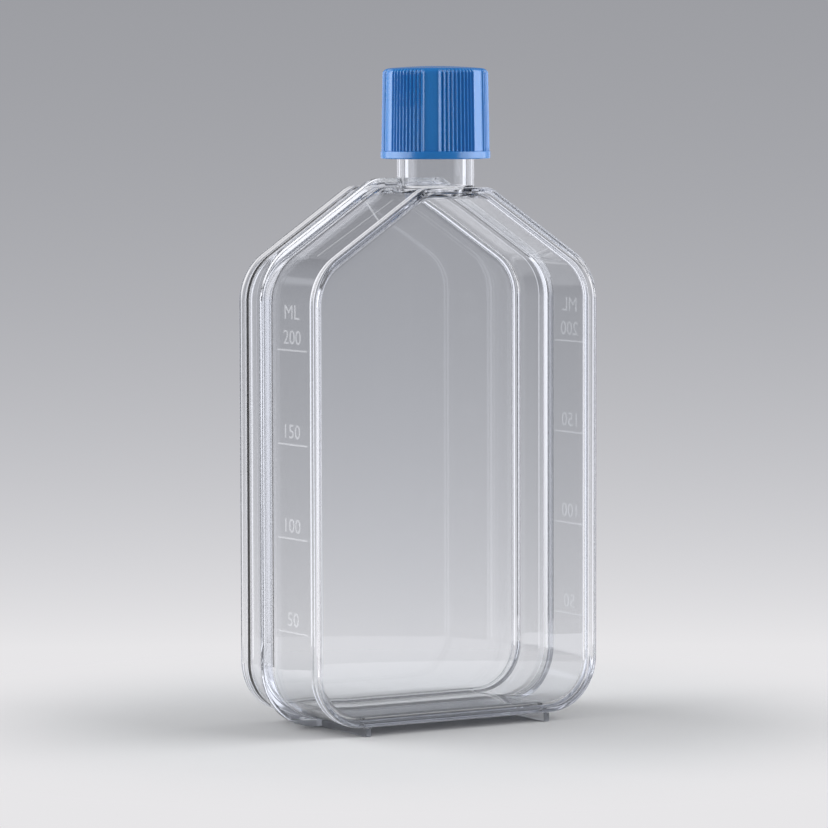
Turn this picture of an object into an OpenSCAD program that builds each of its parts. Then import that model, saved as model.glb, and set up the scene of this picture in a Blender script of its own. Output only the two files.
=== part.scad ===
// Cell culture flask with a straight neck and a ribbed screw cap, standing upright.
// X is its width, Y its thickness from front (-Y) to back (+Y), and Z its height.

/* [Body] */
// Width across the stacking rims
rim_w = 77.6; // [60:0.1:110]
// Width of the flat top between the shoulders, measured on the rim
top_flat_w = 18.5; // [16:0.1:24]
// Thickness of the flask, from the front rim to the back rim
body_depth = 36.2; // [32:0.1:60]
// Height at which the side would meet the shoulder, if the corner were sharp
shoulder_z = 107.4; // [70:0.1:150]
// Angle of the shoulders above the horizontal
shoulder_angle = 33.8; // [25:0.1:45]
// Thickness of every moulded wall
wall = 1.3; // [0.8:0.1:2.2]
// Outer radius of the two bottom corners of the rim
bottom_corner_r = 13; // [6:0.5:20]
// Outer radius of the two shoulder corners of the rim
shoulder_corner_r = 13.5; // [6:0.5:20]
// Outer radius of the two corners beside the neck
top_corner_r = 5; // [3:0.5:7]

/* [Stacking rims] */
// How far each rim stands proud of its panel
rim_proud = 1.2; // [0.6:0.1:2]
// How far each rim stands proud of the side and shoulder walls
rim_side = 0.6; // [0.4:0.1:1.6]
// How far each rim stands proud of the top and bottom walls
rim_end = 0.2; // [0:0.1:1]
// Width of the rim's face at the sides and shoulders
rim_band = 2.1; // [1.8:0.1:4]
// Width of the rim's face at the top and bottom
rim_band_end = 1.2; // [0.8:0.1:3]
// Length of the rim along the walls
rim_length = 2.4; // [1.5:0.1:5]

/* [Weld flange] */
// Room between the back of the neck and the flange behind it
neck_room = 0.8; // [0:0.1:4]
// Thickness of the flange on each shell
flange_t = 1.8; // [1:0.1:3]
// How far the flange stands out beyond the rims at the sides and shoulders
flange_side = 2.2; // [1:0.1:5]
// How far the flange stands out above the top of the rims
flange_top = 2; // [1:0.1:4]

/* [Feet] */
// Height of the foot ribs, and reach of the flange below the rims
foot_h = 2.1; // [1:0.1:4]
// Distance between the outer faces of the left and right foot ribs
foot_span = 50.6; // [30:0.1:60]
// Thickness of a foot rib
foot_t = 1.5; // [0.8:0.1:3]

/* [Neck] */
// Outer diameter of the neck
neck_d = 18.2; // [14:0.1:24]
// Wall of the neck
neck_wall = 1.6; // [1:0.1:2.4]
// Length of the neck above the top of the rims
neck_length = 25.3; // [18:0.1:40]

/* [Cap] */
// Height of the cap, with its top
cap_h = 21.7; // [14:0.1:26]
// Thickness of the cap's top
cap_top_t = 2; // [1:0.1:3]
// Thickness of the cap's skirt, without its ribs
cap_wall = 1.6; // [1:0.1:2.5]
// Radial room between the neck and the cap's skirt, which the screw thread fills
thread_room = 1.6; // [1.2:0.1:3]
// Slope of the skirt's outside
cap_draft = 1; // [0:0.1:2]
// Radius of the cap's top edge
cap_edge_r = 1.2; // [0.2:0.1:1.4]
// Height of the collar round the bottom of the skirt
collar_h = 1.8; // [1:0.1:3]
// How far the collar stands proud of the ribs
collar_proud = 0.15; // [0:0.05:0.5]
// How far the ribs stand proud of the skirt
rib_proud = 0.45; // [0.2:0.05:0.8]
// Width of a rib
rib_w = 0.5; // [0.3:0.05:0.8]
// Number of smooth panels between the groups of ribs
panels = 6; // [3:1:8]
// Number of ribs in a group
ribs = 10; // [4:1:12]
// Share of the skirt's circle that one rib and its groove take, in degrees
rib_pitch = 4.5; // [4:0.1:5]
// Angle of the first smooth panel when the cap is screwed down
cap_start = -5.6; // [-30:0.1:30]

/* [Seal] */
// Thickness of the seal's disc
seal_t = 1; // [0.6:0.1:2]
// Depth to which the seal's plug reaches into the neck
plug_h = 3; // [1:0.1:6]
// Wall of the plug
plug_wall = 1; // [0.6:0.1:2]
// Clearance round the seal, in the neck and in the cap
seal_gap = 0.3; // [0.2:0.05:0.5]

/* [Hidden] */
$fn = 96;
cut = 1;                                 // overrun of a cut past the face it opens
neck_r = neck_d / 2;
bore_r = neck_r - neck_wall;
skirt_r = neck_r + thread_room;          // inside of the cap's skirt
core_r = skirt_r + cap_wall;             // outside of the skirt at the bottom, between the ribs
rib_r = core_r + rib_proud;
collar_r = rib_r + collar_proud;

// Along Y, the neck touches the plane of the front panel, and the box of the whole flask,
// cap included, is centred on Y = 0.
neck_back = rim_proud + neck_r;          // from the front rim to the neck's axis
weld_depth = neck_back + neck_r + neck_room + flange_t; // of the front shell, which has the neck
cap_over = max(0, collar_r - neck_back); // how far the cap stands out in front of the front rim
front_y = (cap_over - body_depth) / 2;
back_y = front_y + body_depth;
weld_y = front_y + weld_depth;
neck_y = front_y + neck_back;

// Along Z
rim_z0 = foot_h;
rim_z1 = shoulder_z + (rim_w - top_flat_w) / 2 * tan(shoulder_angle);
wall_z1 = rim_z1 - rim_end;              // outside of the top wall, which carries the neck
lip_z = rim_z1 + neck_length;
seal_z = lip_z + seal_t;                 // top of the seal, under the cap's top
cap_z1 = seal_z + cap_top_t;
cap_z0 = cap_z1 - cap_h;

// The outline seen from the front, as a sharp six-sided house. Its edges are the bottom,
// right side, right shoulder, top, left shoulder and left side, and corner i ends edge i.
house = [[rim_w / 2, rim_z0], [rim_w / 2, shoulder_z], [top_flat_w / 2, rim_z1],
         [-top_flat_w / 2, rim_z1], [-rim_w / 2, shoulder_z], [-rim_w / 2, rim_z0]];
slope = [sin(shoulder_angle), cos(shoulder_angle)];
normals = [[0, -1], [1, 0], slope, [0, 1], [-slope[0], slope[1]], [-1, 0]];
house_r = [bottom_corner_r, shoulder_corner_r, top_corner_r,
           top_corner_r, shoulder_corner_r, bottom_corner_r];

// How far each edge of the rim's outline moves out to give each other outline.
function moved(bottom, side, top) = [bottom, side, side, top, side, side];
rim_edge = moved(0, 0, 0);
panel_edge = moved(-rim_band_end, -rim_band, -rim_band_end);
wall_outside = moved(-rim_end, -rim_side, -rim_end);
wall_inside = wall_outside - moved(wall, wall, wall);
flange_edge = moved(foot_h, flange_side, flange_top);

// The corner where edges i and i + 1 meet, once each has moved out by its entry in grow.
function moved_corner(i, grow) =
    let (a = normals[i], b = normals[(i + 1) % 6], c = a * b,
         da = grow[i], db = grow[(i + 1) % 6])
    house[i] + a * (da - c * db) / (1 - c * c) + b * (db - c * da) / (1 - c * c);
function corner_radius(i, grow) = max(0.8, house_r[i] + min(grow[i], grow[(i + 1) % 6]));
// The centre of the arc that rounds corner i.
function arc_centre(i, grow) =
    let (a = normals[i], b = normals[(i + 1) % 6])
    moved_corner(i, grow) - (a + b) * corner_radius(i, grow) / (1 + a * b);

// The rounded outline, in X and Z drawn as x and y: round corners joined by straight edges.
module outline(grow) {
    for (i = [0 : 5])
        translate(arc_centre(i, grow)) circle(corner_radius(i, grow));
    polygon([for (i = [0 : 5], n = [normals[i], normals[(i + 1) % 6]])
        arc_centre(i, grow) + n * corner_radius(i, grow)]);
}

// The outline as a plate from y0 to y1.
module plate(grow, y0, y1) {
    translate([0, y1, 0]) rotate([90, 0, 0]) linear_extrude(y1 - y0) outline(grow);
}

// Both shells are the same tray with other depths. depth_in runs from a rim's face to the weld,
// and the tray is drawn with its rim at Y = 0 and its open side at Y = depth_in.
module tray(depth_in) {
    difference() {
        union() {
            plate(rim_edge, 0, rim_length);
            plate(wall_outside, 0, depth_in);
            plate(flange_edge, depth_in - flange_t, depth_in);
            foot_ribs(depth_in - flange_t);
        }
        plate(panel_edge, -cut, rim_proud);
        plate(wall_inside, rim_proud + wall, depth_in + cut);
    }
}

// A left and a right rib under the bottom wall, from the rim's face to the flange.
module foot_ribs(length) {
    for (side = [-1, 1])
        translate([side * (foot_span - foot_t) / 2 - foot_t / 2, 0, 0])
            cube([foot_t, length + flange_t / 2, rim_z0 + rim_end + wall / 2]);
}

// The front shell: the front panel with its rim, the side walls down to the weld, and the neck.
module front_shell() {
    color([0.88, 0.91, 0.94, 0.4]) difference() {
        union() {
            translate([0, front_y, 0]) tray(weld_depth);
            translate([0, neck_y, wall_z1 - wall])
                cylinder(h = lip_z - wall_z1 + wall, r = neck_r);
        }
        translate([0, neck_y, wall_z1 - wall - cut])
            cylinder(h = lip_z - wall_z1 + wall + 2 * cut, r = bore_r);
    }
}

// The back shell: the growth panel with its rim, and the side walls up to the weld.
module back_shell() {
    color([0.9, 0.93, 0.96, 0.4])
        translate([0, back_y, 0]) mirror([0, 1, 0]) tray(body_depth - weld_depth);
}

// Half the section of the cap, without its ribs: x is the radius, and y the height in the cap.
module cap_section() {
    top_r = core_r - cap_h * tan(cap_draft);
    difference() {
        union() {
            polygon([[0, 0], [core_r, 0], [top_r, cap_h - cap_edge_r],
                     [top_r - cap_edge_r, cap_h], [0, cap_h]]);
            translate([top_r - cap_edge_r, cap_h - cap_edge_r]) circle(cap_edge_r, $fn = 48);
            square([collar_r, collar_h]);
        }
        translate([-core_r, -cut]) square([core_r + skirt_r, cap_h - cap_top_t + cut]);
        translate([-core_r, -cut]) square([core_r, cap_h + 2 * cut]);
    }
}

// One group of ribs, standing on the sloped skirt beside the smooth panel at angle 0.
module rib_group() {
    spread = (360 / panels - (ribs - 1) * rib_pitch) / 2;
    for (i = [0 : ribs - 1])
        rotate([0, 0, spread + i * rib_pitch])
            translate([core_r, 0, collar_h / 2]) rotate([0, -cap_draft, 0])
                translate([-cap_wall / 2, -rib_w / 2, 0])
                    cube([cap_wall / 2 + rib_proud, rib_w, cap_h - cap_edge_r - collar_h / 2]);
}

// The screw cap's shell.
module cap_shell() {
    color([0.1, 0.42, 0.78]) translate([0, neck_y, cap_z0]) rotate([0, 0, cap_start]) {
        rotate_extrude() cap_section();
        for (p = [0 : panels - 1])
            rotate([0, 0, p * 360 / panels]) rib_group();
    }
}

// The soft seal in the cap: a disc on the neck's lip, with a ring that plugs the bore.
module cap_seal() {
    plug_r = bore_r - seal_gap;
    color([0.93, 0.94, 0.95]) translate([0, neck_y, lip_z]) {
        cylinder(h = seal_t, r = skirt_r - seal_gap);
        translate([0, 0, -plug_h]) difference() {
            cylinder(h = plug_h + seal_t / 2, r = plug_r);
            translate([0, 0, -cut]) cylinder(h = plug_h + cut, r = plug_r - plug_wall);
        }
    }
}

front_shell();
back_shell();
cap_shell();
cap_seal();
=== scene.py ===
"""A clear cell culture flask with a ribbed blue screw cap: its looks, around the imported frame.

Lengths in the constants are millimetres, and MM turns them into metres. The floor's radii and
the lamps' sizes are metres already.
"""

import math

import bmesh
import bpy
import numpy as np
from mathutils import Matrix, Vector

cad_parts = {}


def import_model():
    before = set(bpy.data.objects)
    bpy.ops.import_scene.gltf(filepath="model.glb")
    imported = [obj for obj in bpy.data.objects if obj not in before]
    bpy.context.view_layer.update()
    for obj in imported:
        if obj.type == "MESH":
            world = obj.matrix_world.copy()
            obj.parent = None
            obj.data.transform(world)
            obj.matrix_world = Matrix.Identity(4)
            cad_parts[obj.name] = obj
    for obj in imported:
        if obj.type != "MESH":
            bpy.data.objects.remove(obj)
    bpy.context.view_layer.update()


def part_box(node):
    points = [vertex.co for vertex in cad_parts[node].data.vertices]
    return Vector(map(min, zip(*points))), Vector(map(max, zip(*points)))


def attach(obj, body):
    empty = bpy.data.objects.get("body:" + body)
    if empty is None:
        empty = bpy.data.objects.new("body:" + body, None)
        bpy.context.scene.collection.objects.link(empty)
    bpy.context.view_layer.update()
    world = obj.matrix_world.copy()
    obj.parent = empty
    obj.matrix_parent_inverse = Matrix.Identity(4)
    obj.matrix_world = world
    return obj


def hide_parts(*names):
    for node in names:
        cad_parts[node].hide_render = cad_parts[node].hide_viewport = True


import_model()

MM = 0.001

# The shells' shared section: how far the outline moves from the rim's outer edge, and depths.
RIM_PROUD = 1.2        # rim over its panel
RIM_LENGTH = 2.4       # rim along the walls
RIM_SIDE = 0.6         # rim beyond the side and shoulder walls
RIM_END = 0.2          # rim beyond the top and bottom walls
RIM_STEP = 0.4         # depth over which the rim steps in to the walls
RIM_BAND = 2.1         # width of the rim's face at the sides and shoulders
RIM_BAND_END = 1.2     # width of the rim's face at the top and bottom
WALL = 1.3
FLANGE_T = 1.8
FLANGE_SIDE = 2.2
FLANGE_TOP = 2.0
FOOT_H = 2.1
FOOT_SPAN = 50.6
FOOT_T = 1.5
FOOT_INSET = 0.25      # foot rib behind the rim's face
FOOT_SINK = 0.9        # foot rib into the bottom wall
FOOT_EDGE_R = 0.3
WELD_GAP = 0.04        # air between the two flanges, outside their weld line
SHOULDER_ANGLE = math.radians(33.8)
TOP_FLAT_W = 18.5
CORNER_R = (13.0, 13.5, 5.0)   # outer radii of the rim's bottom, shoulder and top corners
RIM_TOP_R = CORNER_R[2] + 1
PANEL_TOP_R = 9.0      # top corners of the panel and of the flange
INSIDE_TOP_R = 6.0     # top corners of the chamber
CORNER_STEPS = 18
DRAFT = 0.4            # growth of the walls from the rim to the flange
# How the shells differ: the flange slopes over slope_t to an edge that is edge_t thick and stands
# edge_side out from the rim, with root_r at its root. inside_r rounds the panel into the walls.
FRONT_SECTION = dict(slope_t=1.4, edge_t=0.4, edge_side=1.7, root_r=0.9, inside_r=1.3)
BACK_SECTION = dict(slope_t=1.4, edge_t=1.5, edge_side=FLANGE_SIDE, root_r=0.5, inside_r=2.0)

# The neck, its bore and its thread
NECK_WALL = 1.6
NECK_FLARE = 1.1       # foot of the neck beyond the neck
NECK_FLARE_R = 1.3
NECK_LIP_R = 0.5
BORE_EASE = 0.25       # widening of the bore where it leaves the chamber
BORE_EASE_H = 0.5
THREAD_DROP = 14.0     # start of the neck's thread below its lip
THREAD_PITCH = 3.0
THREAD_H = 1.2
THREAD_W = 1.1         # halfway up its flanks
THREAD_FLANK = 0.5     # width of each sloping flank
THREAD_TURNS = 3.2
THREAD_FADE = 0.12     # turns over which each end of it rises

# The cap
CAP_WALL = 1.6
CAP_TOP_T = 2.0
CAP_DRAFT = math.radians(1)
CAP_EDGE_R = 1.2
CAP_DOME = 0.5         # rise of the top from its rounded edge to its middle
GATE_R = 1.2           # the moulding gate's dimple in the middle of the top
GATE_DEPTH = 0.3
COLLAR_H = 1.8
COLLAR_PROUD = 0.15
RIB_PROUD = 0.45
RIB_PITCH = math.radians(4.5)
RIBS = 10              # in each group
PANELS = 6             # smooth panels, one between each two groups of ribs
CAP_START = math.radians(-5.6)   # where the first group's share of the turn starts
PLUG_GAP = 0.3         # between the seal's plug and the bore
PLUG_WALL = 1.0

# Places read from the frame, in millimetres
front_lo, front_hi = (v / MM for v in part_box("front_shell"))
back_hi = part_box("back_shell")[1] / MM
cap_lo, cap_hi = (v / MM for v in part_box("cap_shell"))
seal_lo, seal_hi = (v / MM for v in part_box("cap_seal"))
front_y, weld_y, back_y = front_lo.y, front_hi.y, back_hi.y
rim_half = front_hi.x - FLANGE_SIDE
rim_z0 = FOOT_H
rim_z1 = back_hi.z - FLANGE_TOP
shoulder_z = rim_z1 - (rim_half - TOP_FLAT_W / 2) * math.tan(SHOULDER_ANGLE)
wall_z1 = rim_z1 - RIM_END
lip_z = front_hi.z
neck_y = (cap_lo.y + cap_hi.y) / 2
collar_r = (cap_hi.y - cap_lo.y) / 2
rib_r = collar_r - COLLAR_PROUD
core_r = rib_r - RIB_PROUD
skirt_r = core_r - CAP_WALL
neck_r = neck_y - front_y - RIM_PROUD
bore_r = neck_r - NECK_WALL
cap_h = cap_hi.z - cap_lo.z


# ---------------------------------------------------------------- meshes

def new_object(name, verts, faces):
    """A mesh object from points in millimetres, with its faces turned outwards."""
    mesh = bpy.data.meshes.new(name)
    mesh.from_pydata([tuple(v) for v in np.asarray(verts, float) * MM], [], faces)
    bm = bmesh.new()
    bm.from_mesh(mesh)
    bmesh.ops.recalc_face_normals(bm, faces=bm.faces)
    bm.to_mesh(mesh)
    bm.free()
    obj = bpy.data.objects.new(name, mesh)
    bpy.context.scene.collection.objects.link(obj)
    return obj


def loft(name, rings):
    """A closed solid through rings of equally many points, with a flat face at each end."""
    n = len(rings[0])
    faces = []
    for k in range(len(rings) - 1):
        for i in range(n):
            j = (i + 1) % n
            faces.append((k * n + i, k * n + j, (k + 1) * n + j, (k + 1) * n + i))
    last = (len(rings) - 1) * n
    faces.append(tuple(range(n)))
    faces.append(tuple(range(last, last + n)))
    return new_object(name, np.concatenate(rings), faces)


def rounded(keys, steps=6):
    """The path through keys, each (point, radius), with its corners rounded.

    The first two coordinates of a point are the plane in which the radius is measured, and the
    others follow in proportion."""
    points = [np.array(p, float) for p, _ in keys]
    out = [points[0]]
    for before, (key, radius), after in zip(points, keys[1:-1], points[2:]):
        key = np.array(key, float)
        back, ahead = before - key, after - key
        len_back, len_ahead = (np.linalg.norm(v[:2]) for v in (back, ahead))
        cos_turn = -(back[:2] @ ahead[:2]) / (len_back * len_ahead)
        half_turn = math.acos(max(-1.0, min(1.0, cos_turn))) / 2
        cut = min(radius * math.tan(half_turn), 0.48 * len_back, 0.48 * len_ahead)
        start, end = key + back * cut / len_back, key + ahead * cut / len_ahead
        weight = math.cos(half_turn)
        count = max(2, round(steps * half_turn / math.radians(45)))
        for t in np.linspace(0, 1, count + 1):
            w0, w1, w2 = (1 - t) ** 2, 2 * t * (1 - t) * weight, t * t
            out.append((w0 * start + w1 * key + w2 * end) / (w0 + w1 + w2))
    return out + [points[-1]]


def boolean(target, tool, operation):
    """target, with tool joined to it or cut from it; tool is used up."""
    modifier = target.modifiers.new("cut", "BOOLEAN")
    modifier.object, modifier.operation, modifier.solver = tool, operation, "EXACT"
    graph = bpy.context.evaluated_depsgraph_get()
    mesh = bpy.data.meshes.new_from_object(target.evaluated_get(graph))
    target.modifiers.clear()
    target.data = mesh
    bpy.data.objects.remove(tool)
    return target


def smooth(obj, sharp_angle=32):
    """Smooth faces, sharp edges past an angle, and normals that keep the flat faces flat."""
    bm = bmesh.new()
    bm.from_mesh(obj.data)
    bmesh.ops.remove_doubles(bm, verts=bm.verts, dist=0.002 * MM)
    limit = math.radians(sharp_angle)
    for face in bm.faces:
        face.smooth = True
    for edge in bm.edges:
        edge.smooth = len(edge.link_faces) != 2 or edge.calc_face_angle(0) < limit
    bm.to_mesh(obj.data)
    bm.free()
    modifier = obj.modifiers.new("flat faces", "WEIGHTED_NORMAL")
    modifier.keep_sharp = True
    return obj


# ---------------------------------------------------------------- the two shells

# The six corners of the rim's outer edge in X and Z, and the outward direction of each edge
SLOPE = np.array([math.sin(SHOULDER_ANGLE), math.cos(SHOULDER_ANGLE)])
NORMALS = np.array([[0, -1], [1, 0], SLOPE, [0, 1], SLOPE * (-1, 1), [-1, 0]])
HOUSE = np.array([[rim_half, rim_z0], [rim_half, shoulder_z], [TOP_FLAT_W / 2, rim_z1],
                  [-TOP_FLAT_W / 2, rim_z1], [-rim_half, shoulder_z], [-rim_half, rim_z0]])


def outline(bottom, side, top, top_r):
    """The six-cornered outline in X and Z, each edge moved out by its amount."""
    grow = [bottom, side, side, top, side, side]
    radii = [CORNER_R[0], CORNER_R[1], top_r, top_r, CORNER_R[1], CORNER_R[0]]
    points = []
    for i in range(6):
        a, b = NORMALS[i], NORMALS[(i + 1) % 6]
        da, db = grow[i], grow[(i + 1) % 6]
        c = a @ b
        corner = HOUSE[i] + (a * (da - c * db) + b * (db - c * da)) / (1 - c * c)
        r = radii[i] if i in (2, 3) else radii[i] + min(da, db)
        centre = corner - (a + b) * r / (1 + c)
        start = math.atan2(a[1], a[0])
        turn = math.acos(c)
        for t in np.linspace(start, start + turn, CORNER_STEPS + 1):
            points.append(centre + r * np.array([math.cos(t), math.sin(t)]))
    return np.array(points)


def tray_rings(depth, slope_t, edge_t, edge_side, root_r, inside_r):
    """The rings of one shell, from the middle of its panel outside to the middle inside.

    The outlines are (side, bottom, top, radius of the top corners), moved out from the rim's outer
    edge, and a key's point has its depth behind the rim's face before them."""
    rim = (0, 0, 0, RIM_TOP_R)
    panel = (-RIM_BAND, -RIM_BAND_END, -RIM_BAND_END, PANEL_TOP_R)
    outside = (-RIM_SIDE, -RIM_END, -RIM_END, CORNER_R[2])
    inside = (-RIM_SIDE - WALL, -RIM_END - WALL, -RIM_END - WALL, INSIDE_TOP_R)
    flange = (edge_side, FOOT_H, FLANGE_TOP, PANEL_TOP_R)
    edge = depth - edge_t
    root = edge - slope_t
    weld = depth - WELD_GAP / 2

    def key(d, line, out, radius):
        """An outline as a key; out above 0 widens its sides, and below 0 shrinks it all round."""
        side, bottom, top, top_r = line
        return (d, side + out, bottom + min(out, 0), top + min(out, 0), top_r), radius

    def wider(line, amount):
        return (line[0] + amount, *line[1:])

    path = rounded([
        key(RIM_PROUD, panel, -4, 0),
        key(RIM_PROUD, panel, 0, 0.5),
        key(0, panel, 0.3, 0.6),
        key(0, rim, 0, 0.8),
        key(RIM_LENGTH, rim, 0, 0.6),
        key(RIM_LENGTH + RIM_STEP, outside, 0, 0.7),
        key(root, wider(outside, DRAFT), 0, root_r),
        key(edge, flange, 0, 0.6),
        key(weld, flange, 0, 0.15),
        key(weld, wider(inside, DRAFT), 0, 0.15),
        key(RIM_PROUD + WALL, inside, 0, inside_r),
        key(RIM_PROUD + WALL, inside, -4, 0)])
    rings = []
    for d, side, bottom, top, top_r in path:
        xz = outline(bottom, side, top, top_r)
        rings.append(np.column_stack([xz[:, 0], np.full(len(xz), d), xz[:, 1]]))
    return rings


def bevelled_box(name, low, high, radius):
    """A box between two corners, with all its edges rounded."""
    low, high = np.array(low), np.array(high)
    bm = bmesh.new()
    bmesh.ops.create_cube(bm, size=1, matrix=Matrix.LocRotScale(
        Vector((low + high) / 2 * MM), None, Vector((high - low) * MM)))
    bmesh.ops.bevel(bm, geom=bm.edges[:], offset=radius * MM, segments=3, profile=0.5, affect="EDGES")
    mesh = bpy.data.meshes.new(name)
    bm.to_mesh(mesh)
    bm.free()
    obj = bpy.data.objects.new(name, mesh)
    bpy.context.scene.collection.objects.link(obj)
    return obj


def shell(name, depth, section, place_y, inward):
    """One shell: its tray with two foot ribs. inward is +1 for the front and -1 for the back."""
    rings = tray_rings(depth, **section)
    for ring in rings:
        ring[:, 1] = place_y + inward * ring[:, 1]
    tray = loft(name, rings)
    rib_ends = (place_y + inward * FOOT_INSET, place_y + inward * (depth - FLANGE_T / 2))
    for side in (-1, 1):
        x = side * (FOOT_SPAN - FOOT_T) / 2
        low = (x - FOOT_T / 2, min(rib_ends), 0.0)
        high = (x + FOOT_T / 2, max(rib_ends), rim_z0 + FOOT_SINK)
        boolean(tray, bevelled_box("foot", low, high, FOOT_EDGE_R), "UNION")
    return tray


def lathe(name, profile, steps=96, radius_at=None):
    """A closed solid turned about the neck's axis. profile is (radius, z) from one flat end to
    the other, and radius_at(turn, r, z) can vary the radius round the axis."""
    turn = np.linspace(0, 2 * math.pi, steps, endpoint=False)
    rings = []
    for r, z in profile:
        radii = np.full(steps, float(r)) if radius_at is None else radius_at(turn, r, z)
        rings.append(np.column_stack([radii * np.cos(turn), neck_y + radii * np.sin(turn),
                                      np.full(steps, float(z))]))
    return loft(name, rings)


def ridge(turn, z, first_z):
    """Height, from 0 to 1, of a right-handed thread of THREAD_TURNS that starts at first_z."""
    height = np.zeros_like(turn)
    for lap in range(math.ceil(THREAD_TURNS) + 1):
        along = turn / (2 * math.pi) + lap
        away = np.abs(z - first_z - THREAD_PITCH * along)
        flank = np.clip((THREAD_W / 2 + THREAD_FLANK / 2 - away) / THREAD_FLANK, 0, 1)
        ends = np.clip(np.minimum(along, THREAD_TURNS - along) / THREAD_FADE, 0, 1)
        height = np.maximum(height, flank * ends)
    return height * height * (3 - 2 * height)


def neck_solid():
    """The neck with its thread, from its flare in the top wall up to the lip."""
    thread_z = lip_z - THREAD_DROP
    plain_z = wall_z1 + 4

    def radius_at(turn, r, z):
        if r != neck_r:
            return np.full(len(turn), r)
        return r + THREAD_H * ridge(turn, z, thread_z)

    flare = rounded([((neck_r + NECK_FLARE, wall_z1 - NECK_FLARE), 0),
                     ((neck_r + NECK_FLARE, wall_z1 - 0.1), 0.3),
                     ((neck_r, wall_z1 + 0.1), NECK_FLARE_R), ((neck_r, plain_z), 0)])
    lip = rounded([((neck_r, lip_z - 1), 0), ((neck_r, lip_z), NECK_LIP_R), ((bore_r - 1, lip_z), 0)])
    # rings 1 mm apart on the plain neck, and 0.2 mm apart where the thread is
    profile = [tuple(p) for p in flare[:-1]]
    profile += [(neck_r, z) for z in np.arange(plain_z, thread_z - 1, 1.0)]
    profile += [(neck_r, z) for z in np.arange(thread_z - 0.8, lip_z - 1.2, 0.2)]
    profile += [tuple(p) for p in lip[1:]]
    return lathe("neck", profile, radius_at=radius_at)


def bore_cutter():
    """What the bore takes out of the neck and the top wall, with rounded mouths."""
    bottom = wall_z1 - WALL
    wide_r, lip_r = bore_r + BORE_EASE, bore_r + NECK_LIP_R
    profile = rounded([((wide_r, bottom - 1.5), 0), ((wide_r, bottom), 0.3),
                       ((bore_r, bottom + BORE_EASE_H), 0.3), ((bore_r, lip_z - NECK_LIP_R), 0.5),
                       ((lip_r, lip_z), 0), ((lip_r, lip_z + 1), 0)], steps=4)
    return lathe("bore", profile)


def front_shell():
    obj = shell("flask_front", weld_y - front_y, FRONT_SECTION, front_y, 1)
    boolean(obj, neck_solid(), "UNION")
    boolean(obj, bore_cutter(), "DIFFERENCE")
    return smooth(obj)


def back_shell():
    return smooth(shell("flask_back", back_y - weld_y, BACK_SECTION, back_y, -1))


# ---------------------------------------------------------------- the cap

def rib_shape(turn):
    """1 on the crest of a rib, 0 in a groove and on the smooth panels."""
    sector = 2 * math.pi / PANELS
    within = (turn - CAP_START) % sector
    first = (sector - (RIBS - 1) * RIB_PITCH) / 2
    nearest = np.clip(np.round((within - first) / RIB_PITCH), 0, RIBS - 1)
    away = np.abs(within - first - nearest * RIB_PITCH) / (RIB_PITCH / 2)
    return 0.5 + 0.5 * np.cos(math.pi * np.minimum(away, 1))


def screw_cap():
    """The cap as one lofted skin: over its top, down its ribs, round the collar and up inside."""
    columns = round(2 * math.pi / RIB_PITCH) * 8
    turn = np.linspace(0, 2 * math.pi, columns, endpoint=False)
    ribs = rib_shape(turn)
    z0, z1 = cap_lo.z, cap_hi.z
    slope = math.tan(CAP_DRAFT)
    thread_z = lip_z - THREAD_DROP + THREAD_PITCH / 2
    rows = []

    def row(r, z, rib=0.0, thread=False):
        radii = r + rib * RIB_PROUD * ribs
        if thread:
            radii = radii - THREAD_H * ridge(turn, z, thread_z)
        rows.append(np.column_stack([radii * np.cos(turn), neck_y + radii * np.sin(turn),
                                     np.full(columns, float(z))]))

    top_r = core_r - cap_h * slope
    flat_r, edge_z = top_r - CAP_EDGE_R, z1 - CAP_DOME
    # the domed top, from the moulding gate's shallow dimple out to the rounded edge
    for r, z in rounded([((0.4, z1 - GATE_DEPTH), 0), ((GATE_R, z1 - GATE_DEPTH), 0.3),
                         ((GATE_R + 0.4, z1 - 0.02), 0.3), ((GATE_R + 1, z1 - 0.02), 0)]):
        row(r, z)
    for share in np.linspace(0.3, 1.0, 12):
        row(flat_r * share, z1 - CAP_DOME * share ** 2)
    # the skirt with its ribs, which swell out of the rounded edge
    skirt_h = cap_h - CAP_DOME - COLLAR_H
    for drop in np.concatenate([np.linspace(0.1, CAP_EDGE_R, 8), np.linspace(1.8, skirt_h - 0.05, 12)]):
        swell = min(1.0, drop / CAP_EDGE_R)
        short = max(0.0, CAP_EDGE_R - drop)
        drafted_r = core_r - (cap_h - CAP_DOME - drop) * slope
        row(drafted_r - CAP_EDGE_R + math.sqrt(CAP_EDGE_R ** 2 - short ** 2), edge_z - drop,
            rib=math.sin(swell * math.pi / 2))
    # the collar and the bottom edge
    collar = rounded([((rib_r, z0 + COLLAR_H), 0), ((collar_r, z0 + COLLAR_H - 0.05), 0.2),
                      ((collar_r, z0), 0.3), ((skirt_r, z0), 0.4), ((skirt_r, z0 + 1.5), 0)], steps=3)
    for r, z in collar[:-1]:
        row(r, z)
    # the inside with its thread, and the inside of the top
    roof_z = z1 - CAP_TOP_T
    for z in np.arange(z0 + 1.6, roof_z - 0.9, 0.25):
        row(skirt_r, z, thread=True)
    for r, z in rounded([((skirt_r, roof_z - 0.8), 0), ((skirt_r, roof_z), 0.5), ((1.0, roof_z), 0)]):
        row(r, z)
    return smooth(loft("screw_cap", rows), sharp_angle=50)


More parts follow.
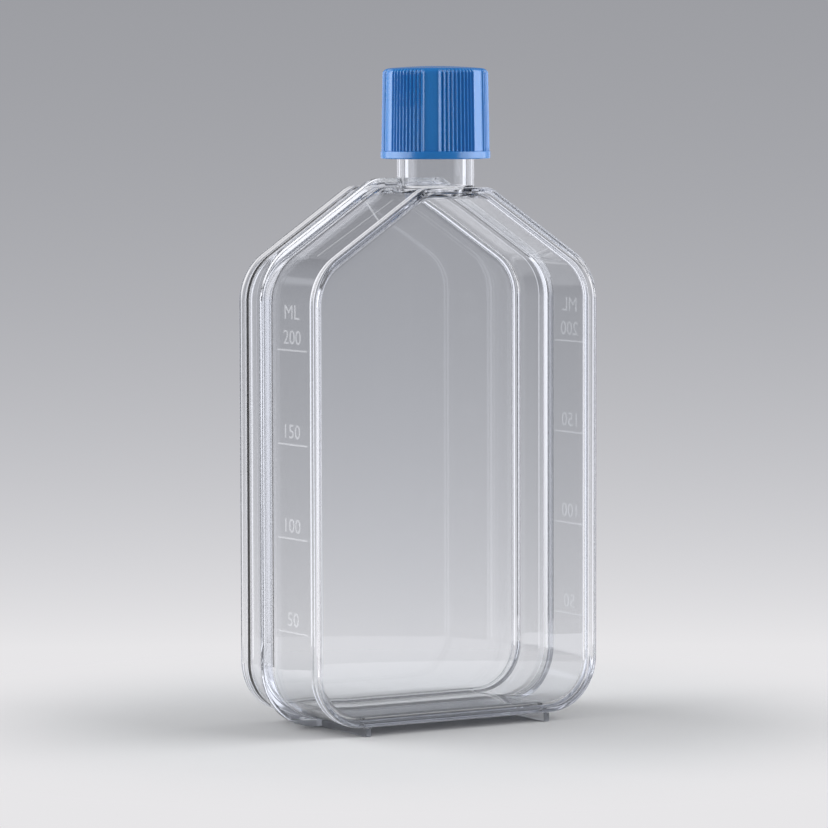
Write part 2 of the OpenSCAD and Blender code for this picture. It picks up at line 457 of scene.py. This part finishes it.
def cap_liner():
    """The soft seal: a disc on the lip with a tapered ring that plugs the bore."""
    disc_r = (seal_hi.x - seal_lo.x) / 2
    plug_r = bore_r - PLUG_GAP
    inner_r = plug_r - PLUG_WALL
    ring = [((inner_r, lip_z), 0.4), ((inner_r, seal_lo.z + 0.3), 0.2),
            ((plug_r - 0.7, seal_lo.z), 0.2), ((plug_r - 0.3, seal_lo.z), 0.2),
            ((plug_r, seal_lo.z + 0.8), 0.4), ((plug_r, lip_z), 0.15)]
    disc = [((disc_r, lip_z), 0.2), ((disc_r, seal_hi.z), 0.2), ((0.5, seal_hi.z), 0)]
    return smooth(lathe("cap_liner", rounded([((0.5, lip_z), 0), *ring, *disc], steps=3)))


# ---------------------------------------------------------------- volume marks

MARK_T = 0.06          # how far a mark stands proud
MARK_FOOT = 0.01       # and how far its underside stands off the wall
VOLUMES = (50, 100, 150, 200)
STEP_50ML = 21.9       # height of 50 ml
FIRST_Z = 24.1         # height of the first line
LINE_W = 0.4
LINE_HALF = 6.6        # half the length of a volume line
DIGIT_H = 3.3
DIGIT_STRETCH = 1.15   # width of the letters over the font's own
DIGIT_GAP = 1.4        # between a line and its number
UNIT_GAP = 7.2         # between the top line and the foot of ML
MARK_DEPTH = 11.1      # middle of the marks behind the front rim's face


def wall_x(depth):
    """Half width of the side walls' outside at a depth behind the front rim."""
    rim_end = RIM_LENGTH + RIM_STEP
    span = (weld_y - front_y - FLANGE_T) - rim_end
    return rim_half - RIM_SIDE + DRAFT * (depth - rim_end) / span


def text_mesh(words):
    """Flat letters, DIGIT_H tall and centred across, as (points, faces)."""
    curve = bpy.data.curves.new("words", "FONT")
    curve.body, curve.align_x, curve.resolution_u = words, "CENTER", 3
    obj = bpy.data.objects.new("words", curve)
    bpy.context.scene.collection.objects.link(obj)
    graph = bpy.context.evaluated_depsgraph_get()
    mesh = bpy.data.meshes.new_from_object(obj.evaluated_get(graph))
    bpy.data.objects.remove(obj)
    points = np.array([v.co[:2] for v in mesh.vertices])
    points[:, 1] -= points[:, 1].min()
    scale = DIGIT_H / points[:, 1].max()
    points = points * scale * (DIGIT_STRETCH, 1)
    points[:, 0] -= (points[:, 0].min() + points[:, 0].max()) / 2
    return points, [tuple(p.vertices) for p in mesh.polygons]


def bar(x0, x1, y0, y1):
    """A flat rectangle, as (points, faces)."""
    return np.array([[x0, y0], [x1, y0], [x1, y1], [x0, y1]], float), [(0, 1, 2, 3)]


def raised(name, patches, place):
    """Flat patches as one thin raised mesh; place(u, v, t) gives the point t proud of the wall."""
    verts, faces = [], []
    for points, polys in patches:
        base = len(verts)
        verts += [place(u, v, MARK_FOOT) for u, v in points]
        verts += [place(u, v, MARK_T) for u, v in points]
        n = len(points)
        edges = {}
        for poly in polys:
            faces.append(tuple(base + n + i for i in poly))
            faces.append(tuple(base + i for i in reversed(poly)))
            for a, b in zip(poly, poly[1:] + poly[:1]):
                edges[(a, b)] = True
        # a side wall under each edge that no other face shares
        for a, b in edges:
            if (b, a) not in edges:
                faces.append((base + a, base + b, base + n + b, base + n + a))
    return new_object(name, verts, faces)


def lifted(patch, up):
    return patch[0] + (0, up), patch[1]


def volume_marks(side):
    """Lines and numbers for each 50 ml on a side wall; u runs to the reader's right."""
    patches = []
    for i, volume in enumerate(VOLUMES):
        z = FIRST_Z + i * STEP_50ML
        patches.append(bar(-LINE_HALF, LINE_HALF, z - LINE_W / 2, z + LINE_W / 2))
        patches.append(lifted(text_mesh(str(volume)), z + DIGIT_GAP))
    patches.append(lifted(text_mesh("ML"), z + UNIT_GAP))

    def place(u, v, t):
        depth = MARK_DEPTH + side * u
        return side * (wall_x(depth) + t), front_y + depth, v

    return raised("volume_marks_right" if side > 0 else "volume_marks_left", patches, place)


# Fine moulded lines on the shoulders. An end is (up the slope, behind the front rim's face).
SHOULDER_LINES = {-1: [((8, 10.5), (31, 8.5)), ((30, 19.5), (23, 4))], 1: [((5.5, 19), (9, 8))]}


def shoulder_lines():
    """A line along the left shoulder with a tick across it, and a tick on the right shoulder."""
    along = np.array([-math.cos(SHOULDER_ANGLE), math.sin(SHOULDER_ANGLE)])
    foot = np.array([rim_half, shoulder_z])
    verts, faces = [], []
    for side, lines in SHOULDER_LINES.items():
        for line in lines:
            a, b = np.array(line, float)
            across = np.array([-(b - a)[1], (b - a)[0]]) / np.linalg.norm(b - a) * LINE_W / 2
            base = len(verts)
            for t in (MARK_FOOT, MARK_T):
                for corner in (a - across, a + across, b + across, b - across):
                    out = wall_x(corner[1]) - rim_half + t
                    x, z = foot + along * corner[0] + SLOPE * out
                    verts.append((side * x, front_y + corner[1], z))
            faces += [tuple(base + i for i in f) for f in (
                (0, 1, 2, 3), (7, 6, 5, 4), (0, 4, 5, 1), (1, 5, 6, 2), (2, 6, 7, 3), (3, 7, 4, 0))]
    return new_object("shoulder_lines", verts, faces)


# ---------------------------------------------------------------- materials

class Nodes:
    """The node tree of a material or a world, with short calls to add and link nodes."""

    def __init__(self, owner, output="ShaderNodeOutputMaterial"):
        owner.use_nodes = True
        self.owner = owner
        self.tree = owner.node_tree
        self.tree.nodes.clear()
        self.output = self.add(output)

    def add(self, kind, _inputs=None, **properties):
        node = self.tree.nodes.new(kind)
        for key, value in properties.items():
            setattr(node, key, value)
        for key, value in (_inputs or {}).items():
            if isinstance(value, bpy.types.NodeSocket):
                self.tree.links.new(value, node.inputs[key])
            else:
                node.inputs[key].default_value = value
        return node

    def noise(self, scale, detail=3.0, stretch=(1, 1, 1)):
        where = self.add("ShaderNodeTexCoord").outputs["Object"]
        mapped = self.add("ShaderNodeMapping", {"Vector": where, "Scale": stretch})
        return self.add("ShaderNodeTexNoise", {"Vector": mapped.outputs[0], "Scale": scale,
                                               "Detail": detail}).outputs["Fac"]

    def ramp(self, value, low, high):
        return self.add("ShaderNodeMapRange", {"Value": value, "To Min": low, "To Max": high}).outputs[0]

    def mix(self, fac, a, b):
        node = self.add("ShaderNodeMix", data_type="RGBA")
        self.tree.links.new(fac, node.inputs["Factor"])
        node.inputs["A"].default_value = (*a, 1)
        node.inputs["B"].default_value = (*b, 1)
        return node.outputs["Result"]

    def bump(self, height, strength, distance):
        return self.add("ShaderNodeBump", {"Height": height, "Strength": strength,
                                           "Distance": distance}).outputs[0]

    def math(self, operation, *values):
        return self.add("ShaderNodeMath", dict(enumerate(values)), operation=operation).outputs[0]

    def blend(self, fac, a, b):
        """A number that goes from a to b as fac goes from 0 to 1."""
        return self.add("ShaderNodeMix", {"Factor": fac, "A": a, "B": b}).outputs[0]

    def surface(self, shader):
        """Link the shader to the output, and give back what the tree belongs to."""
        self.tree.links.new(shader.outputs[0], self.output.inputs["Surface"])
        return self.owner


def material(name):
    """The empty node tree of a new material."""
    return Nodes(bpy.data.materials.new(name))


FOOT_FROST = 0.3       # roughness of the feet, up to where the walls start
FROST_EDGE = 0.2       # height over which it ends there


def clear_polystyrene():
    """Clear plastic with the faint flow marks of a moulding, and feet frosted by standing."""
    n = material("clear_polystyrene")
    where = n.add("ShaderNodeTexCoord").outputs["Object"]
    height = n.add("ShaderNodeSeparateXYZ", {0: where}).outputs["Z"]
    frost = n.add("ShaderNodeMapRange", {
        "Value": height, "From Min": (FOOT_H - FROST_EDGE) * MM, "From Max": FOOT_H * MM,
        "To Min": FOOT_FROST, "To Max": 0.0}).outputs[0]
    flow = n.noise(30, 2, (1, 1, 0.4))
    shader = n.add("ShaderNodeBsdfPrincipled", {
        "Base Color": n.mix(flow, (0.985, 0.99, 0.998), (0.965, 0.975, 0.99)),
        "Roughness": n.math("ADD", n.ramp(flow, 0.0, 0.004), frost),
        "IOR": 1.59,
        "Transmission Weight": 1.0,
        "Normal": n.bump(flow, 0.05, 0.00003)})
    volume = n.add("ShaderNodeVolumeAbsorption", {"Color": (0.74, 0.80, 0.93, 1), "Density": 14.0})
    n.tree.links.new(volume.outputs[0], n.output.inputs["Volume"])
    return n.surface(shader)


def cap_blue():
    """Glossy blue plastic, a little cloudy, with a fine moulded grain."""
    n = material("cap_blue")
    cloud = n.noise(120, 4)
    grain = n.noise(2500, 2)
    return n.surface(n.add("ShaderNodeBsdfPrincipled", {
        "Base Color": n.mix(cloud, (0.010, 0.165, 0.49), (0.014, 0.19, 0.55)),
        "Roughness": n.ramp(cloud, 0.2, 0.28),
        "Specular IOR Level": 0.8,
        "Subsurface Weight": 0.06,
        "Subsurface Radius": (0.0004, 0.001, 0.002),
        "Subsurface Scale": 1.0,
        "Normal": n.bump(grain, 0.08, 0.00005)}))


def seal_white():
    """Soft off-white plastic."""
    n = material("seal_white")
    cloud = n.noise(160, 3)
    return n.surface(n.add("ShaderNodeBsdfPrincipled", {
        "Base Color": n.mix(cloud, (0.86, 0.87, 0.88), (0.80, 0.81, 0.82)),
        "Roughness": n.ramp(cloud, 0.5, 0.65),
        "Normal": n.bump(n.noise(1800, 2), 0.15, 0.00004)}))


def mark_white():
    """Frosted white that lets some light through, so it shows from inside the flask as well."""
    n = material("mark_white")
    patchy = n.noise(900, 3)
    colour = n.mix(patchy, (0.95, 0.96, 0.97), (0.85, 0.87, 0.9))
    front = n.add("ShaderNodeBsdfDiffuse", {"Color": colour})
    through = n.add("ShaderNodeBsdfTranslucent", {"Color": colour})
    both = n.add("ShaderNodeAddShader", {0: front.outputs[0], 1: through.outputs[0]})
    clear = n.add("ShaderNodeBsdfTransparent")
    return n.surface(n.add("ShaderNodeMixShader", {
        0: n.ramp(patchy, 0.06, 0.13), 1: clear.outputs[0], 2: both.outputs[0]}))


# ---------------------------------------------------------------- studio

CAMERA_TURN = math.radians(31)      # the camera looks this far from +Y towards +X
CAMERA_AHEAD = (math.sin(CAMERA_TURN), math.cos(CAMERA_TURN), 0)
CAMERA_ASIDE = (math.cos(CAMERA_TURN), -math.sin(CAMERA_TURN), 0)
FLOOR_R = 0.14                      # metres; past it the world goes on in the same tone
FLOOR_TONE = 0.8
# The backdrop is as light as the floor at the horizon, and its light falls off upwards
BACKDROP_TOP = 0.3
HORIZON = -7                        # degrees
BACKDROP_FALL = 3.5                 # degrees over which it loses most of its light
# Rays through the clear plastic see the backdrop all round, as the camera does, and a white card
# on each side just outside the camera's view. Angles are in degrees from the backdrop's middle.
WHITE_CARD = (16, 28)
CARD_TONE = 1.2
# Reflected rays see the room, the same on both sides: each zone has the angle at which it
# starts, and its grey. The ceiling's angle is its elevation.
GREY_WALL = (28, 0.6)
DARK_GAP = (57, 0.08)
WHITE_SOFTBOX = (75, 1.4)           # it ends before the front panel could mirror it
DIM_ROOM = (105, 0.15)              # behind the camera
CEILING = (25, 0.15)
SOFT_EDGE = 3                       # degrees over which one turns into the next
COOL = (0.97, 0.985, 1.06)          # tint of the backdrop's top and of the room
WARM = (1.0, 0.99, 1.01)            # tint of the floor and of the backdrop at the horizon
PLAIN_LIGHT = 0.35                  # light from all round on matt surfaces
FLOOR_DROP = 0.02                   # millimetres under the feet
FLOOR_LIT_R = 0.06                  # metres; the floor's own shade fades from here to FLOOR_R
# The lamps: one at each side, in metres, with their lower edge below the floor's level so that
# the upright faces mirror them
LAMP_DISTANCE = 2.5
LAMP_W = 4.0
LAMP_H = 4.4
LAMP_BOTTOM = -1.0
LAMP_RADIANCE = 2.6


def seen_directly(n):
    """1 for rays that show the surroundings: from the camera, off gloss or through glass."""
    path = n.add("ShaderNodeLightPath")
    seen = path.outputs["Is Camera Ray"]
    for name in ("Is Glossy Ray", "Is Transmission Ray"):
        seen = n.math("MAXIMUM", seen, path.outputs[name])
    return seen


def floor():
    """A pale floor that turns into the backdrop's tone with distance."""
    turn = np.linspace(0, 2 * math.pi, 128, endpoint=False)
    edge_r = FLOOR_R / MM
    below = np.full(len(turn), -FLOOR_DROP)
    verts = np.column_stack([edge_r * np.cos(turn), edge_r * np.sin(turn), below])
    obj = new_object("floor", verts, [tuple(range(len(turn)))])
    n = material("floor")
    where = n.add("ShaderNodeTexCoord").outputs["Object"]
    away = n.add("ShaderNodeVectorMath", {0: where}, operation="LENGTH").outputs["Value"]
    near = n.add("ShaderNodeBsdfPrincipled", {
        "Base Color": n.mix(n.noise(30), (0.72, 0.725, 0.74), (0.75, 0.755, 0.77)),
        "Roughness": 0.9, "Specular IOR Level": 0.0})
    tone = (*(FLOOR_TONE * c for c in WARM), 1)
    far = n.add("ShaderNodeEmission", {"Color": tone, "Strength": seen_directly(n)})
    share = n.add("ShaderNodeMapRange", {"Value": away, "From Min": FLOOR_LIT_R, "From Max": FLOOR_R},
                  interpolation_type="SMOOTHSTEP").outputs[0]
    shader = n.add("ShaderNodeMixShader", {0: share, 1: near.outputs[0], 2: far.outputs[0]})
    obj.data.materials.append(n.surface(shader))
    return obj


def past(n, value, angle):
    """0 below an angle and 1 above it, with a soft edge between."""
    return n.add("ShaderNodeMapRange", {
        "Value": value, "From Min": angle - SOFT_EDGE / 2, "From Max": angle + SOFT_EDGE / 2},
        interpolation_type="SMOOTHSTEP").outputs[0]


def world():
    """Matt surfaces get plain light from all round. The camera sees a grey backdrop that darkens
    upwards, rays through the clear plastic see the white cards too, and reflections the room."""
    n = Nodes(bpy.data.worlds.new("studio"), "ShaderNodeOutputWorld")
    path = n.add("ShaderNodeLightPath").outputs
    towards = n.add("ShaderNodeTexCoord").outputs["Generated"]
    up = n.add("ShaderNodeSeparateXYZ", {0: towards}).outputs["Z"]
    ahead, aside = (n.add("ShaderNodeVectorMath", {0: towards, 1: axis}, operation="DOT_PRODUCT")
                    .outputs["Value"] for axis in (CAMERA_AHEAD, CAMERA_ASIDE))
    turn = n.math("MULTIPLY", n.math("ARCTAN2", aside, ahead), math.degrees(1))
    turn = n.math("ABSOLUTE", turn)
    height = n.math("MULTIPLY", n.math("ARCSINE", up), math.degrees(1))

    fall = n.math("DIVIDE", n.math("SUBTRACT", HORIZON, height), BACKDROP_FALL)
    fall = n.math("EXPONENT", n.math("MINIMUM", fall, 0.0))
    backdrop = n.math("MULTIPLY_ADD", fall, FLOOR_TONE - BACKDROP_TOP, BACKDROP_TOP)

    card = n.math("SUBTRACT", past(n, turn, WHITE_CARD[0]), past(n, turn, WHITE_CARD[1]))
    through = n.blend(card, backdrop, CARD_TONE)
    room = through
    for place, (angle, tone) in ((turn, GREY_WALL), (turn, DARK_GAP), (turn, WHITE_SOFTBOX),
                                 (turn, DIM_ROOM), (height, CEILING)):
        room = n.blend(past(n, place, angle), room, tone)
    reflected = n.math("GREATER_THAN", path["Glossy Depth"], 0.5)
    seen = n.blend(path["Is Camera Ray"], n.blend(reflected, through, room), backdrop)

    shown = n.add("ShaderNodeBackground", {"Color": n.mix(fall, COOL, WARM), "Strength": seen})
    plain = n.add("ShaderNodeBackground", {"Color": (0.98, 0.99, 1, 1), "Strength": PLAIN_LIGHT})
    lit = n.add("ShaderNodeMixShader", {0: seen_directly(n), 1: plain.outputs[0], 2: shown.outputs[0]})
    bpy.context.scene.world = n.surface(lit)


CAMERA_PITCH = math.radians(4.05)
CAMERA_ROLL = math.radians(-0.13)
CAMERA_DISTANCE = 1.062
CAMERA_LENS = 194.6
AIM_ASIDE = -1.17                   # of the aim point, to the camera's right of the axis
AIM_Z = 73.2


def camera():
    """The camera, which looks slightly down at the flask from the left of its front."""
    forward = Vector(CAMERA_AHEAD) * math.cos(CAMERA_PITCH)
    forward.z = -math.sin(CAMERA_PITCH)
    middle = Vector((0, (front_y + back_y) / 2, AIM_Z))
    aim = (middle + Vector(CAMERA_ASIDE) * AIM_ASIDE) * MM
    data = bpy.data.cameras.new("camera")
    data.lens, data.sensor_width = CAMERA_LENS, 36
    data.clip_start, data.clip_end = 0.05, 20
    obj = bpy.data.objects.new("camera", data)
    bpy.context.scene.collection.objects.link(obj)
    obj.location = aim - forward * CAMERA_DISTANCE
    look = forward.to_track_quat("-Z", "Y").to_matrix()
    obj.rotation_euler = (look @ Matrix.Rotation(CAMERA_ROLL, 3, "Z")).to_euler()
    bpy.context.scene.camera = obj


def softbox(name, aside, lit):
    """An upright area lamp; aside is its angle from the camera's side of the flask, in degrees,
    and lit the collection that it lights. The clear plastic has the world's softbox instead."""
    towards = math.radians(-90) - CAMERA_TURN + math.radians(aside)
    data = bpy.data.lights.new(name, "AREA")
    data.shape, data.size, data.size_y = "RECTANGLE", LAMP_W, LAMP_H
    data.energy = LAMP_RADIANCE * math.pi * LAMP_W * LAMP_H
    obj = bpy.data.objects.new(name, data)
    bpy.context.scene.collection.objects.link(obj)
    place = Vector((math.cos(towards) * LAMP_DISTANCE, math.sin(towards) * LAMP_DISTANCE,
                    LAMP_BOTTOM + LAMP_H / 2))
    obj.location = place
    obj.rotation_euler = Vector((-place.x, -place.y, 0)).to_track_quat("-Z", "Y").to_euler()
    obj.visible_camera = False
    obj.light_linking.receiver_collection = lit
    obj.visible_transmission = False


def studio(solid_pieces):
    """The world lights everything, and the lamps light what isn't clear."""
    lit = bpy.data.collections.new("lit_by_lamps")
    for obj in (floor(), *solid_pieces):
        lit.objects.link(obj)
    world()
    softbox("softbox_left", -90, lit)
    softbox("softbox_right", 90, lit)
    camera()
    scene = bpy.context.scene
    scene.view_settings.view_transform = "Standard"
    scene.cycles.max_bounces = 32
    scene.cycles.transmission_bounces = 32
    scene.cycles.glossy_bounces = 32    # light reflected inside the plastic counts as glossy
    scene.cycles.transparent_max_bounces = 24


# ---------------------------------------------------------------- the object

def dress(obj, finish, body, replaced=None):
    """Give a piece its material, its body and what it stands for."""
    obj.data.materials.clear()
    obj.data.materials.append(finish)
    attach(obj, body)
    if replaced:
        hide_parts(replaced)
    return obj


clear = clear_polystyrene()
marks = mark_white()
dress(front_shell(), clear, "flask", "front_shell")
dress(back_shell(), clear, "flask", "back_shell")
studio([
    dress(screw_cap(), cap_blue(), "cap", "cap_shell"),
    dress(cap_liner(), seal_white(), "seal", "cap_seal"),
    dress(volume_marks(-1), marks, "flask"),
    dress(volume_marks(1), marks, "flask"),
    dress(shoulder_lines(), marks, "flask")])
